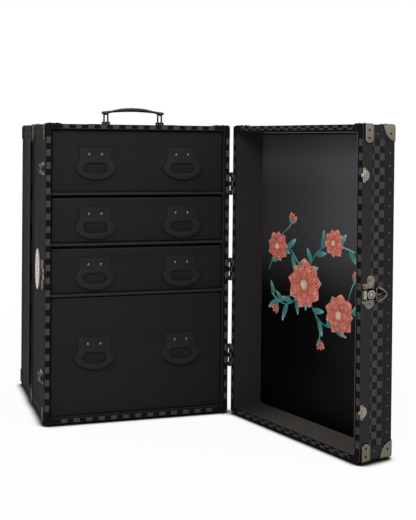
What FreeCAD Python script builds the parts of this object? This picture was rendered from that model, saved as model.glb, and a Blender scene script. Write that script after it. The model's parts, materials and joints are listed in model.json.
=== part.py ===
import FreeCAD, Part
import math, os

Vector = FreeCAD.Vector

# Wardrobe trunk, stood on its end and opened. Millimetres, +Z up.
# Origin: on the floor under the middle of the case. +X is to the right and +Y to the back.
# Three boxes share one width and height: the case with its drawers, a door hinged on its
# right side and a rear section hinged on its left side.

# ---- driving dimensions ----
width = 645.0
height = 1000.0
floor_gap = 8.0  # height of the battens that the case stands on
case_depth = 310.0
rear_depth = 285.0
door_depth = 133.5
seam = 1.0  # gap between two closed rims
wall = 18.5  # width of a rim, board and trim together
trim = 1.2  # thickness of the edge trim
edge_radius = 7.0
door_open_angle = 106.0

rim_band = 40.0  # trim beside a rim
back_band = 42.0  # trim beside the outer face
end_band = 43.0  # trim at the top and bottom of a side

back_panel = 9.0
face_panel = 10.8
door_lining = 4.0
lip_width = 6.0
lip_depth = 8.0
lip_setback = 1.0

batten_width = 40.0
batten_spread = 88.0  # from the middle batten to an outer one
batten_inset = 15.0

shelf = 8.0
shelf_setback = 5.0
shelf_heights = [421.5, 591.5, 762.0]  # underside of each shelf, above the box's bottom
runner_width = 20.0
runner = 2.0
back_gap = 2.0  # from the back panel to the case's rear rim
drawer_front_ends = [(21.0, 416.0), (432.5, 581.0), (603.5, 752.0), (774.5, 978.0)]
drawer_front_width = 598.0
drawer_front = 16.0
drawer_setback = 13.0
drawer_box_width = 592.0
drawer_board = 8.0
drawer_bottom = 5.0
drawer_bottom_rise = 6.0
drawer_box_depth = 256.0
drawer_box_drop = 20.5  # from the top of the front to the top of the box
running_gap = 0.3

pull_tops = [282.0, 551.0, 721.5, 922.0]
pull_spread = 152.5
pull_top_width = 109.0
pull_belly_width = 137.0
pull_height = 107.0
pull_thick = 4.0
pull_flat = 30.0
pull_bend_radius = 120.0
pull_angle = 10.0
slot_width = 82.0
slot_height = 34.0
slot_drop = 69.0
slot_crown = 1.0  # bulge of the slot's long sides
pull_belly_drop = 64.0
pull_straight = 33.0  # length of the straight upper sides
pull_flare = (3.4, 48.0)  # how far out, and how far down, the sides have swung there
rivet_spread = 43.0
rivet_drop = 23.0
rivet_radius = 2.0
rivet_head = 4.6
rivet_head_rise = 2.2
rivet_sink = 8.0
rivet_play = 0.1

clamp_setback = 6.6
clamp_width = 35.0
clamp_reach = 55.0
clamp_thick = 3.0
clamp_end_flat = 0.2  # half of what its round ends leave flat
clamp_holes = (17.0, 41.0)
nail_hole = 2.2
drill = 12.0  # half length of a drilling through a plate
cap_reach = 50.0
cap_thick = 2.5

hinge_heights = [197.0, 499.0, 799.0]
hinge_height = 79.0
hinge_offset = 7.5
hinge_barrel = 3.8
hinge_leaf = 1.8
hinge_reach = 45.0
hinge_pin = 1.9
hinge_knuckles = 5
rear_hinge_offset = 7.2
rear_hinge_barrel = 5.0
rear_hinge_leaf = 1.6
rear_hinge_reach = 27.0
rear_hinge_pin = 1.6
rear_hinge_knuckles = 12
rear_hinge_inset = 60.0
knuckle_gap = 0.4
pin_clearance = 0.06
pin_head = 1.2
pin_head_share = 0.72  # of the barrel's radius
web_share = 0.9  # of the barrel's radius

catch_heights = [151.0, 850.0]
catch_pin_setback = 22.0
catch_pin_rise = 7.0
catch_pin = 2.0
catch_barrel = 4.0
catch_base = (16.0, 76.0, 21.0, 2.5)  # first and last setback, half height, thickness
catch_base_corner = 9.0
catch_lug = (8.0, 14.0)  # nearest and farthest height from the middle
catch_lever_length = 48.0
catch_lever_half = 17.0
catch_lever = 3.0
catch_neck = 8.0  # length of the straight stretch beside the pin
catch_shoulder = (16.0, 0.82)  # distance from the pin, share of the half width
catch_belly = 0.62  # place of the widest part, as a share of the length
catch_rest_angle = 5.0
claw = (32.0, 3.0, 2.0)  # distance from the pin, thickness, rise
finger_hole = (41.0, 4.2)  # distance from the pin, radius

keeper_thick = 3.0
keeper_body = (0.5, 9.0)  # first and last setback
keeper_corner = 2.0
keeper_ear = (6.0, 5.6)  # setback, radius
keeper_belly = (8.5, 17.0)  # setback, radius
keeper_ridge = (5.0, 8.0, 9.0, 2.0)  # first and last setback, half height, rise
keeper_hook = (-7.0, 6.0, 5.0, 0.8)  # first and last setback, half height, gap under it
keeper_hole_spread = 34.0

# Outlines on a box's side are (setback, height over the middle), with an arc's own middle first.
lock_height = 498.0  # middle of the hasp's barrel
lock_plate = 2.5
lock_plate_outline = [
    (24.0, 33.0),
    (22.0, 47.0, 36.0, 55.5),
    (50.0, 47.0, 50.0, 30.0),
    (51.0, -15.0),
    (50.0, -28.0),
    (38.0, -42.0, 26.0, -44.5),
    (18.0, -38.0, 10.0, -27.0),
    (2.0, -26.0),
    (2.0, -17.0),
    (20.0, -16.0),
    (20.0, 17.0),
    (3.0, 26.5),
    (3.0, 31.0),
]
lock_plate_holes = [(32.0, 39.7), (33.0, -28.6)]
lock_plate_hole = 2.6
lock_foot = (3.5, 21.0, 21.0, 2.0)  # first and last setback, half height, corner
lock_lug = (5.0, 4.5)  # height, radius
lock_pin = 2.0
lock_pin_setback = 8.0
lock_pin_rise = 8.0
lock_barrel = 5.0
lock_half = 15.0
lock_rest_angle = 5.0
staple_outline = [(60.0, 1.5), (68.0, -3.0), (76.0, 3.0), (78.5, 0.5), (69.0, -7.0), (60.0, -2.5)]
staple_rise = 6.0
hasp_arm = (22.0, 9.0)  # last setback, half height
hasp_block = (21.0, 51.0, 5.0)  # first and last setback, corner
hasp_block_thick = 5.0
hasp_groove = (33.0, 35.0, 1.0)  # first and last setback, depth
hasp_thin = 3.0  # thickness of the arm and the loop
hasp_loop_outside = [
    (46.0, 13.0),
    (52.0, 22.5),
    (74.0, 15.0, 92.0, -2.0),
    (74.0, -17.5, 49.0, -21.0),
    (46.0, -13.0),
]
hasp_loop_inside = [
    (49.0, 12.0),
    (54.0, 18.0),
    (72.0, 11.5, 86.0, -2.0),
    (72.0, -14.0, 52.0, -17.0),
    (49.0, -12.0),
]
receiver_outline = [
    (12.0, 24.0),
    (14.0, 46.0, 26.0, 51.0),
    (38.0, 46.0, 40.0, 22.0),
    (50.0, 0.0, 40.0, -22.0),
    (38.0, -46.0, 26.0, -51.0),
    (14.0, -46.0, 12.0, -24.0),
]
receiver_lobe = (9.0, 29.0, 19.0, 50.0)  # first and last setback, first and last height
receiver_lobe_rise = 8.0
receiver_lobe_corner = 8.0
receiver_hole = (19.0, 36.0)  # setback, height
receiver_staple = (41.0, 44.0, 6.0, 9.5)  # first and last setback, half height, rise
receiver_slot = (4.0, 7.5, 3.0)  # lowest and highest rise, half height

badge_height = 498.5
badge_setback = 162.0
badge_half = (43.0, 71.0)  # half width, half height
badge_thick = 4.0
badge_edge = 1.2

handle_setback = 110.0
handle_ring_spread = 97.0
handle_tab = (84.0, 162.0, 16.0, 4.0)  # inner end, outer end, half width, thickness
tab_corner = 15.5
ring_bar = 3.0
ring_half = 6.6
ring_height = 34.0
trunnion_half = 13.0
mount_half = (13.5, 8.0)
mount_height = 9.0
mount_crown = 5.0  # height of the saddle's round top
mount_floor = 1.0  # metal left under a groove
groove_play = 0.35
mount_bar_rise = 4.7
grip_reach = 112.0
grip_top = 12.5  # rise of the grip's middle line over its ends
grip_fullness = 0.85  # exponent of the arch: lower is fuller
grip_ovals = [  # distance from the middle, half width, half height
    (0.0, 13.0, 7.2),
    (35.0, 12.5, 6.7),
    (62.0, 10.8, 5.2),
    (80.0, 9.0, 4.4),
    (90.0, 8.8, 5.6),
    (97.0, 9.2, 7.0),
    (104.0, 8.6, 6.4),
    (grip_reach, 5.0, 3.2),
]

rod_height = 905.0
rod_radius = 8.0
rod_setback = 25.0
rod_ball = 11.0
rod_flange = (30.0, 4.0)

half = width / 2
top = floor_gap + height
inner = half - wall
front_rim = -case_depth / 2
rear_rim = case_depth / 2
door_axis = Vector(half + hinge_offset, front_rim - seam / 2, 0)
rear_axis = Vector(-half - rear_hinge_offset, rear_rim + seam / 2, 0)
up = Vector(0, 0, 1)
right = Vector(1, 0, 0)
rearward = Vector(0, 1, 0)


# ---- helpers ----
def level(rise):
    """Height above the floor of a place given above the bottom of a box."""
    return floor_gap + rise


def block(x0, x1, y0, y1, z0, z1):
    return Part.makeBox(x1 - x0, y1 - y0, z1 - z0, Vector(x0, y0, z0))


def rod_between(radius, start, end):
    return Part.makeCylinder(radius, (end - start).Length, start, end - start)


def upright(radius, centre, z0, z1):
    return Part.makeCylinder(radius, z1 - z0, Vector(centre.x, centre.y, z0))


def fuse(shapes):
    whole = shapes[0].multiFuse(shapes[1:])
    return whole.removeSplitter()


def prism(plane, start, steps, along):
    """Extrude an outline of lines (u, v) and arcs (middle u, middle v, u, v)."""
    edges = []
    here = start
    for step in steps + [start]:
        there = step[-2:]
        if (plane(*there) - plane(*here)).Length > 1e-6:
            if len(step) == 4:
                edges.append(Part.Arc(plane(*here), plane(*step[:2]), plane(*there)).toShape())
            else:
                edges.append(Part.makeLine(plane(*here), plane(*there)))
        here = there
    return Part.Face(Part.Wire(edges)).extrude(along)


def rounded_plate(plane, u0, u1, v0, v1, radius, along):
    k = radius * (1 - math.sqrt(0.5))
    steps = [
        (u1 - radius, v0),
        (u1 - k, v0 + k, u1, v0 + radius),
        (u1, v1 - radius),
        (u1 - k, v1 - k, u1 - radius, v1),
        (u0 + radius, v1),
        (u0 + k, v1 - k, u0, v1 - radius),
        (u0, v0 + radius),
        (u0 + k, v0 + k, u0 + radius, v0),
    ]
    return prism(plane, (u0 + radius, v0), steps, along)


def side_plane(side, rise):
    """Plane parallel to a box's side: u is the setback from the rim and v the height."""
    return lambda setback, z: Vector(side * (half + rise), setback, z)


def side_block(side, low_rise, high_rise, y0, y1, z0, z1):
    """Block that stands on a box's side between two rises over it."""
    x = sorted([side * (half + low_rise), side * (half + high_rise)])
    return block(*x, y0, y1, z0, z1)


def drilled(radius, centre, direction):
    """Drilling with half of its length on each side of the centre."""
    return rod_between(radius, centre - direction * drill, centre + direction * drill)


def at_height(outline, middle):
    """Outline whose heights are counted from the floor, not from the middle."""
    return [tuple(v + middle * (i % 2) for i, v in enumerate(point)) for point in outline]


def outlined(plane, outline, middle, along):
    points = at_height(outline, middle)
    return prism(plane, points[0], points[1:], along)


def export(name, shapes):
    solids = shapes if isinstance(shapes, list) else [shapes]
    whole = solids[0] if len(solids) == 1 else Part.makeCompound(solids)
    whole.exportStep("parts/" + name + ".step")


# A box is drawn with its rim in the plane y = 0 and its depth along +Y, then placed.
def moved(shape, x, y, z):
    copy = shape.copy()
    copy.translate(Vector(x, y, z))
    return copy


def turned(shape, centre, axis, angle):
    copy = shape.copy()
    copy.rotate(centre, axis, angle)
    return copy


def flipped(shape):
    return shape.mirror(Vector(0, 0, 0), Vector(0, 1, 0))


def at_front_rim(shape):
    return moved(shape, 0, front_rim, 0)


def at_rear_rim(shape):
    return moved(flipped(shape), 0, rear_rim, 0)


def on_rear(shape):
    return moved(shape, 0, rear_rim + seam, 0)


def swing_door(shape):
    return turned(shape, door_axis, up, door_open_angle)


def on_door(shape):
    return swing_door(moved(flipped(shape), 0, front_rim - seam, 0))


def placed(place, shapes):
    return [place(shape) for shape in shapes]


# ---- boxes: boards, panels and trim ----
def rounded_block(rise, depth, closed):
    """The outside of a box, grown by rise; a closed box is rounded at its outer face too."""
    back = depth + rise if closed else depth
    body = block(-half - rise, half + rise, 0, back, floor_gap - rise, top + rise)
    flat_planes = [0.0] if closed else [0.0, back]

    def lies_in_rim(edge):
        ends = [vertex.Point.y for vertex in edge.Vertexes]
        return any(abs(ends[0] - y) + abs(ends[1] - y) < 1e-6 for y in flat_planes)

    round_edges = [edge for edge in body.Edges if not lies_in_rim(edge)]
    return body.makeFillet(edge_radius + rise, round_edges)


def mitred(blank, out, low, high, thick):
    """Left, right, top and bottom boards, cut from a blank along 45 degree mitres."""
    spare = 2.0
    far, bottom, ceiling = out + spare, low - spare, high + spare
    near, floor_in, ceiling_in = out - thick, low + thick, high - thick
    outlines = {
        "left": [(-far, bottom), (-far, ceiling), (-near, ceiling_in), (-near, floor_in)],
        "right": [(far, bottom), (far, ceiling), (near, ceiling_in), (near, floor_in)],
        "top": [(-far, ceiling), (far, ceiling), (near, ceiling_in), (-near, ceiling_in)],
        "bottom": [(-far, bottom), (far, bottom), (near, floor_in), (-near, floor_in)],
    }
    reach = blank.BoundBox.YMax + spare

    def plane(x, z):
        return Vector(x, -spare, z)

    boards = {}
    for name, outline in outlines.items():
        wedge = prism(plane, outline[0], outline[1:], Vector(0, reach + spare, 0))
        boards[name] = blank.common(wedge).Solids[0]
    return boards


def frame_boards(depth, closed):
    blank = rounded_block(-trim, depth, closed)
    return mitred(blank, half, floor_gap, top, wall)


def inner_panel(y0, y1):
    return block(-inner, inner, y0, y1, floor_gap + wall, top - wall)


def edge_trim(depth, closed):
    """Skin over a box's outer edges, cut away at a window in the middle of each face."""
    skin = rounded_block(0, depth, closed).cut(rounded_block(-trim, depth, closed))
    far_band = back_band if closed else rim_band
    beyond = half + height
    y0, y1 = rim_band, depth - far_band
    low, high = floor_gap + end_band, top - end_band
    windows = [
        block(-beyond, beyond, y0, y1, low, high),
        block(-half + rim_band, half - rim_band, y0, y1, -beyond, beyond),
    ]
    if closed:
        across = half - back_band
        windows.append(block(-across, across, depth / 2, depth + beyond, low, high))
    return skin.cut(windows)


# ---- corner hardware ----
def clamp(side, end):
    """Bent plate round a corner next to the rim; side and end are -1 or 1."""
    shell = rounded_block(clamp_thick, case_depth, False).cut(rounded_block(0, case_depth, False))
    corner_z = top if end > 0 else floor_gap
    reach_x = sorted([side * (half - clamp_reach), side * (half + clamp_reach)])
    reach_z = sorted([corner_z - end * clamp_reach, corner_z + end * clamp_reach])
    last = clamp_setback + clamp_width
    plate = shell.common(block(*reach_x, clamp_setback, last, *reach_z)).Solids[0]
    far_x = side * (half - clamp_reach)
    far_z = corner_z - end * clamp_reach

    def at_leg_end(edge):
        middle = edge.CenterOfMass
        is_short = abs(edge.Length - clamp_thick) < 1e-3
        return is_short and (abs(middle.x - far_x) < 1e-3 or abs(middle.z - far_z) < 1e-3)

    ends = [edge for edge in plate.Edges if at_leg_end(edge)]
    plate = plate.makeFillet(clamp_width / 2 - clamp_end_flat, ends)
    middle = clamp_setback + clamp_width / 2
    for hole in clamp_holes:
        side_centre = Vector(side * half, middle, corner_z - end * hole)
        end_centre = Vector(side * (half - hole), middle, corner_z)
        plate = plate.cut([drilled(nail_hole, side_centre, right), drilled(nail_hole, end_centre, up)])
    return plate


def corner_cap(side, end, depth):
    """Three quarter-round plates, one on each face that meets in an outer corner."""
    shell = rounded_block(cap_thick, depth, True).cut(rounded_block(0, depth, True))
    corner_z = top if end > 0 else floor_gap
    ball = Part.makeSphere(cap_reach, Vector(side * half, depth, corner_z))
    return shell.common(ball).Solids[0]


def corner_set(make, place, *more):
    return [place(make(side, end, *more)) for side in (-1, 1) for end in (-1, 1)]


# ---- hinges ----
def spans(low, high, count):
    """Heights of a hinge's knuckles, from the bottom up."""
    pitch = (high - low) / count
    return [(low + i * pitch, low + (i + 1) * pitch - knuckle_gap) for i in range(count)]


def leaf(axis, side, direction, low, high, own, size):
    """Half of a hinge on a box's side: a plate and its knuckles, with a bore for the pin."""
    thick, reach, barrel, pin = size
    start = axis.y + direction * seam / 2
    y_plate = sorted([start, axis.y + direction * reach])
    y_web = sorted([start, axis.y + direction * barrel * web_share])
    x_plate = sorted([side * half, side * (half + thick)])
    x_web = sorted([side * half, axis.x])
    solids = [block(*x_plate, *y_plate, low, high)]
    for z0, z1 in own:
        solids.append(block(*x_web, *y_web, z0, z1))
        solids.append(Part.makeCylinder(barrel, z1 - z0, Vector(axis.x, axis.y, z0)))
    bore = upright(pin + pin_clearance, axis, low - pin_head, high + pin_head)
    return fuse(solids).cut(bore).Solids[0]


def pin_with_heads(axis, low, high, radius, barrel):
    head = barrel * pin_head_share
    return fuse([
        upright(radius, axis, low, high),
        upright(head, axis, low - pin_head, low),
        upright(head, axis, high, high + pin_head),
    ])


def door_hinges():
    size = (hinge_leaf, hinge_reach, hinge_barrel, hinge_pin)
    case_leaves, door_leaves, pins = [], [], []
    for middle in hinge_heights:
        low = level(middle - hinge_height / 2)
        high = level(middle + hinge_height / 2)
        knuckles = spans(low, high, hinge_knuckles)
        case_leaves.append(leaf(door_axis, 1, 1, low, high, knuckles[0::2], size))
        door_leaves.append(swing_door(leaf(door_axis, 1, -1, low, high, knuckles[1::2], size)))
        pins.append(pin_with_heads(door_axis, low, high, hinge_pin, hinge_barrel))
    return case_leaves, door_leaves, pins


def rear_hinge():
    size = (rear_hinge_leaf, rear_hinge_reach, rear_hinge_barrel, rear_hinge_pin)
    low = floor_gap + rear_hinge_inset
    high = top - rear_hinge_inset
    knuckles = spans(low, high, rear_hinge_knuckles)
    case_half = leaf(rear_axis, -1, -1, low, high, knuckles[0::2], size)
    rear_half = leaf(rear_axis, -1, 1, low, high, knuckles[1::2], size)
    pin = pin_with_heads(rear_axis, low, high, rear_hinge_pin, rear_hinge_barrel)
    return case_half, rear_half, pin


# ---- catches and lock, drawn on a box's side ----
def pivot(side, setback, rise):
    return Vector(side * (half + rise), setback, 0)


def lug(side, setback, rise, foot, radius, z0, z1):
    """Ear that holds a pin, standing on a plate of thickness foot."""
    centre = pivot(side, setback, rise)
    x_web = sorted([side * (half + foot), centre.x])
    web = block(*x_web, setback - radius, setback + radius, z0, z1)
    return fuse([web, upright(radius, centre, z0, z1)])


def catch_base_at(side, middle):
    first, last, half_height, thick = catch_base
    low, high = middle - half_height, middle + half_height
    out = right * side * thick
    plate = rounded_plate(side_plane(side, 0), first, last, low, high, catch_base_corner, out)
    centre = pivot(side, catch_pin_setback, catch_pin_rise)
    near, far = catch_lug
    foot = (side, catch_pin_setback, catch_pin_rise, thick, catch_barrel)
    lugs = [lug(*foot, middle + near, middle + far), lug(*foot, middle - far, middle - near)]
    return fuse([plate, upright(catch_pin, centre, middle - far, middle + far)] + lugs)


def catch_lever_at(side, middle):
    """Egg-shaped lever with a finger hole and a claw, folded back from the rim."""
    centre = pivot(side, catch_pin_setback, catch_pin_rise)
    neck = catch_lug[0] - knuckle_gap
    wide = catch_lever_half
    start = catch_pin_setback
    neck_end = start + catch_neck
    shoulder, share = start + catch_shoulder[0], catch_shoulder[1] * wide
    belly = start + catch_belly * catch_lever_length
    outline = [
        (start, -neck),
        (start, neck),
        (neck_end, neck),
        (shoulder, share, belly, wide),
        (start + catch_lever_length, 0.0, belly, -wide),
        (shoulder, -share, neck_end, -neck),
    ]
    inner_face = side_plane(side, catch_pin_rise - catch_lever / 2)
    arm = outlined(inner_face, outline, middle, right * side * catch_lever)
    reach, thick, rise = claw
    outer_face = catch_pin_rise + catch_lever / 2
    claw_y = start + reach
    hook = side_block(
        side, outer_face, outer_face + rise, claw_y, claw_y + thick, middle - neck, middle + neck
    )
    knuckle = upright(catch_barrel, centre, middle - neck, middle + neck)
    distance, radius = finger_hole
    finger = drilled(radius, Vector(side * half, start + distance, middle), right)
    bore = upright(catch_pin + pin_clearance, centre, middle - wide, middle + wide)
    lever = fuse([arm, hook, knuckle]).cut([finger, bore]).Solids[0]
    return turned(lever, centre, up, -side * catch_rest_angle)


def keeper_at(side, middle):
    """Plate with two ears and a ridge, which a lever's claw pulls on."""
    ear_rise = keeper_hole_spread / 2
    out = right * side

    def disc(size, z):
        setback, radius = size
        return Part.makeCylinder(radius, keeper_thick, Vector(side * half, setback, z), out)

    low, high = middle - ear_rise, middle + ear_rise
    body = rounded_plate(side_plane(side, 0), *keeper_body, low, high, keeper_corner, out * keeper_thick)
    first, last, half_height, rise = keeper_ridge
    crest = keeper_thick + rise
    ridge = side_block(side, keeper_thick, crest, first, last, middle - half_height, middle + half_height)
    first, last, half_height, gap = keeper_hook
    hook = side_block(side, gap, keeper_thick, first, last, middle - half_height, middle + half_height)
    rounds = [disc(keeper_ear, low), disc(keeper_ear, high), disc(keeper_belly, middle)]
    reach = 2 * keeper_belly[1]
    over_rim = side_block(side, -1, crest, -reach, keeper_body[0], middle - reach, middle + reach)
    holes = [drilled(nail_hole, Vector(side * half, keeper_ear[0], z), right) for z in (low, high)]
    plate = fuse([body] + rounds).cut([over_rim] + holes)
    return fuse([plate, ridge, hook]).Solids[0]


def lock_plate_at(side, middle):
    """Back plate of the lock: an egg-shaped upper lobe, a pointed lower lobe and two lugs."""
    out = right * side * lock_plate
    plane = side_plane(side, 0)
    plate = outlined(plane, lock_plate_outline, middle, out)
    first, last, half_height, corner = lock_foot
    foot = rounded_plate(plane, first, last, middle - half_height, middle + half_height, corner, out)
    centre = pivot(side, lock_pin_setback, lock_pin_rise)
    lug_height, lug_radius = lock_lug
    near = lock_half + knuckle_gap
    far = near + lug_height
    ear = (side, lock_pin_setback, lock_pin_rise, lock_plate, lug_radius)
    parts = [
        plate,
        foot,
        lug(*ear, middle + near, middle + far),
        lug(*ear, middle - far, middle - near),
        upright(lock_pin, centre, middle - far, middle + far),
    ]
    holes = [
        drilled(lock_plate_hole, Vector(side * half, setback, middle + rise), right)
        for setback, rise in lock_plate_holes
    ]
    return fuse(parts).cut(holes).Solids[0]


def lock_staple_at(side, middle):
    """Small V-shaped staple that the hasp's loop lies round."""
    return outlined(side_plane(side, 0), staple_outline, middle, right * side * staple_rise)


def lock_hasp_at(side, middle):
    """Hasp: barrel, block and pointed loop, folded back from the rim."""
    centre = pivot(side, lock_pin_setback, lock_pin_rise)
    out = right * side
    loop_low = lock_pin_rise - hasp_thin / 3
    block_low = lock_pin_rise - 2 * hasp_thin / 3
    low, high = middle - lock_half, middle + lock_half
    thin = side_plane(side, loop_low)
    last, half_height = hasp_arm
    barrel = upright(lock_barrel, centre, low, high)
    arm_low, arm_high = middle - half_height, middle + half_height
    arm = side_block(side, loop_low, loop_low + hasp_thin, lock_pin_setback, last, arm_low, arm_high)
    first, last, corner = hasp_block
    thick = out * hasp_block_thick
    body = rounded_plate(side_plane(side, block_low), first, last, low, high, corner, thick)
    first, last, depth = hasp_groove
    block_top = block_low + hasp_block_thick
    groove = side_block(side, block_top - depth, block_top + depth, first, last, low, high)
    gap = outlined(side_plane(side, 0), hasp_loop_inside, middle, out * 2 * lock_pin_rise)
    loop = outlined(thin, hasp_loop_outside, middle, out * hasp_thin).cut(gap)
    bore = upright(lock_pin + pin_clearance, centre, low - 1, high + 1)
    hasp = fuse([arm, loop, body, barrel]).cut([bore, groove]).Solids[0]
    return turned(hasp, centre, up, -side * lock_rest_angle)


def lock_receiver_at(side, middle):
    """Plate with a raised lobe at each end and a staple for the hasp, on the case."""
    plane = side_plane(side, 0)
    plate = outlined(plane, receiver_outline, middle, right * side * lock_plate)
    first, last, near, far = receiver_lobe
    out = right * side * receiver_lobe_rise
    lobes = [
        rounded_plate(plane, first, last, z0, z1, receiver_lobe_corner, out)
        for z0, z1 in ((middle + near, middle + far), (middle - far, middle - near))
    ]
    first, last, half_height, rise = receiver_staple
    staple = side_block(side, 0, rise, first, last, middle - half_height, middle + half_height)
    slot_low, slot_high, half_height = receiver_slot
    slot = side_block(
        side, slot_low, slot_high, first - 1, last + 1, middle - half_height, middle + half_height
    )
    setback, height_off = receiver_hole
    holes = [
        drilled(nail_hole, Vector(side * half, setback, middle + end * height_off), right)
        for end in (-1, 1)
    ]
    return fuse([plate, staple] + lobes).cut([slot] + holes).Solids[0]


# ---- carrying handle on the top ----
handle_y = front_rim + handle_setback
canvas_top = top - trim
tab_inner, tab_outer, tab_half, tab_thick = handle_tab
mount_low = canvas_top + tab_thick
bar_z = mount_low + mount_bar_rise
ring_top = bar_z + ring_height


def handle_tab_at(side):
    def plane(x, y):
        return Vector(side * x, handle_y + y, canvas_top)

    return rounded_plate(plane, tab_inner, tab_outer, -tab_half, tab_half, tab_corner, up * tab_thick)


def handle_mount_at(side):
    """Saddle with a groove for each upright of the ring and a bore for its axle."""
    x = side * handle_ring_spread
    half_x, half_y = mount_half

    def plane(y, z):
        return Vector(x - half_x, handle_y + y, mount_low + z)

    crown = mount_height - mount_crown
    steps = [(half_y, 0.0), (half_y, crown), (0.0, mount_height, -half_y, crown)]
    saddle = prism(plane, (-half_y, 0.0), steps, right * 2 * half_x)
    gap = ring_bar + groove_play
    y = (handle_y - 2 * half_y, handle_y + 2 * half_y)
    z = (mount_low + mount_floor, ring_top)
    grooves = [block(x + s * ring_half - gap, x + s * ring_half + gap, *y, *z) for s in (-1, 1)]
    reach = right * 2 * half_x
    centre = Vector(x, handle_y, bar_z)
    bore = rod_between(ring_bar + pin_clearance, centre - reach, centre + reach)
    return saddle.cut(grooves + [bore]).Solids[0]


def handle_ring_at(side):
    """Wire ring that stands up, with its lower bar carried out to both sides as an axle."""
    x = side * handle_ring_spread

    def place(dx, z):
        return Vector(x + dx, handle_y, z)

    bars = [
        rod_between(ring_bar, place(-trunnion_half, bar_z), place(trunnion_half, bar_z)),
        rod_between(ring_bar, place(-ring_half, ring_top), place(ring_half, ring_top)),
        rod_between(ring_bar, place(-ring_half, bar_z), place(-ring_half, ring_top)),
        rod_between(ring_bar, place(ring_half, bar_z), place(ring_half, ring_top)),
        Part.makeSphere(ring_bar, place(-ring_half, ring_top)),
        Part.makeSphere(ring_bar, place(ring_half, ring_top)),
    ]
    return fuse(bars)


def handle_grip(rings):
    """Arched grip: ovals in planes across X, thick in the middle and at both ends."""
    mirrored_ovals = [(-x, wide, tall) for x, wide, tall in reversed(grip_ovals[1:])]
    sections = []
    for x, wide, tall in mirrored_ovals + grip_ovals:
        arch = grip_top * max(0.0, 1 - (x / handle_ring_spread) ** 2) ** grip_fullness
        centre = Vector(x, handle_y, ring_top + arch)
        oval = Part.Ellipse(centre + Vector(0, wide, 0), centre + up * tall, centre)
        sections.append(Part.Wire(oval.toShape()))
    grip = Part.makeLoft(sections, True, False)
    return grip.cut(rings)


# ---- drawers ----
def pull_at(x, crown):
    """Bent plate with an oval finger slot, its lower edge standing off the drawer's face."""
    bend = math.radians(pull_angle)

    def off_face(radius, turn):
        return (
            pull_bend_radius - radius * math.cos(turn),
            pull_flat + radius * math.sin(turn),
        )

    def side_view(out, down):
        return Vector(x - pull_belly_width, drawer_setback - out, crown - down)

    fall = pull_height + pull_thick
    slim = pull_bend_radius - pull_thick
    back_end = off_face(pull_bend_radius, bend)
    front_end = off_face(slim, bend)
    run = fall - back_end[1]
    steps = [
        (0.0, pull_flat),
        off_face(pull_bend_radius, bend / 2) + back_end,
        (back_end[0] + run * math.tan(bend), fall),
        (front_end[0] + (fall - front_end[1]) * math.tan(bend), fall),
        front_end,
        off_face(slim, bend / 2) + (pull_thick, pull_flat),
        (pull_thick, 0.0),
    ]
    slab = prism(side_view, (0.0, 0.0), steps, Vector(2 * pull_belly_width, 0, 0))

    def front_view(u, down):
        return Vector(x + u, drawer_setback - pull_height / 2, crown - down)

    belly = pull_belly_width / 2
    waist = pull_top_width / 2
    drop = pull_height - pull_belly_drop
    flare, flare_drop = pull_flare
    through = Vector(0, pull_height, 0)

    def on_belly(degrees):
        turn = math.radians(degrees)
        return (belly * math.cos(turn), pull_belly_drop + drop * math.sin(turn))

    outline = [
        (waist, 0.0),
        (waist, pull_straight),
        (waist + flare, flare_drop) + on_belly(-5),
        on_belly(17) + on_belly(40),
        on_belly(90) + on_belly(140),
        on_belly(163) + on_belly(185),
        (-waist - flare, flare_drop, -waist, pull_straight),
    ]
    plan = prism(front_view, (-waist, 0.0), outline, through)
    radius = slot_height / 2
    flat = slot_width / 2 - radius
    slot = prism(
        front_view,
        (-flat, slot_drop - radius),
        [
            (0.0, slot_drop - radius - slot_crown, flat, slot_drop - radius),
            (flat + radius, slot_drop, flat, slot_drop + radius),
            (0.0, slot_drop + radius + slot_crown, -flat, slot_drop + radius),
            (-flat - radius, slot_drop, -flat, slot_drop - radius),
        ],
        through,
    )
    holes = [
        drilled(
            rivet_radius + rivet_play,
            Vector(x + s * rivet_spread / 2, drawer_setback, crown - rivet_drop),
            rearward,
        )
        for s in (-1, 1)
    ]
    return slab.common(plan).cut([slot] + holes).Solids[0]


def rivet_at(x, z):
    face = drawer_setback - pull_thick
    shank = rod_between(rivet_radius, Vector(x, face, z), Vector(x, drawer_setback + rivet_sink, z))
    ball = (rivet_head**2 + rivet_head_rise**2) / (2 * rivet_head_rise)
    dome = Part.makeSphere(ball, Vector(x, face - rivet_head_rise + ball, z))
    reach = 2 * rivet_head
    head = dome.common(block(x - reach, x + reach, face - reach, face, z - reach, z + reach))
    return fuse([head, shank])


def drawer_box(low, high):
    out = drawer_box_width / 2
    near = out - drawer_board
    y0 = drawer_setback + drawer_front
    y1 = y0 + drawer_box_depth
    floor = low + drawer_bottom_rise
    return [
        block(-out, -near, y0, y1, low, high),
        block(near, out, y0, y1, low, high),
        block(-near, near, y0, y0 + drawer_board, low, high),
        block(-near, near, y1 - drawer_board, y1, low, high),
        block(-near, near, y0 + drawer_board, y1 - drawer_board, floor, floor + drawer_bottom),
    ]


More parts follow.
